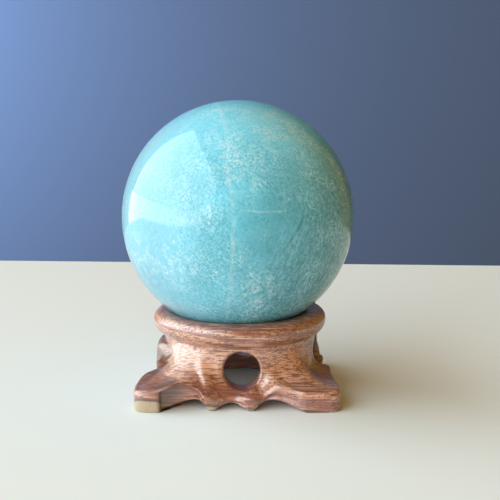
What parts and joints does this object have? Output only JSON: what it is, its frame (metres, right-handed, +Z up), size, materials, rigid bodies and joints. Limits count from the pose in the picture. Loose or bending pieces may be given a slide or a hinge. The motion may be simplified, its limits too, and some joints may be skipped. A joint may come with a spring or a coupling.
{
  "type": "decorative sphere on stand",
  "caption": "Polished blue-green stone sphere resting in the round rim of a carved hollow wooden stand with drilled sides and root-like feet.",
  "frame": {"origin": "on the table under the centre of the sphere, at the middle of the overall box's underside", "axes": "+Z up through the sphere and the stand's bore, -Y towards the front of the stand, +X to the right seen from the front"},
  "size_m": [0.07, 0.07, 0.0878],
  "materials": {
    "stone": "polished",
    "wood": "gloss"
  },
  "bodies": {
    "root": {"stone_sphere": "stone", "wooden_stand": "wood"}
  },
  "joints": []
}
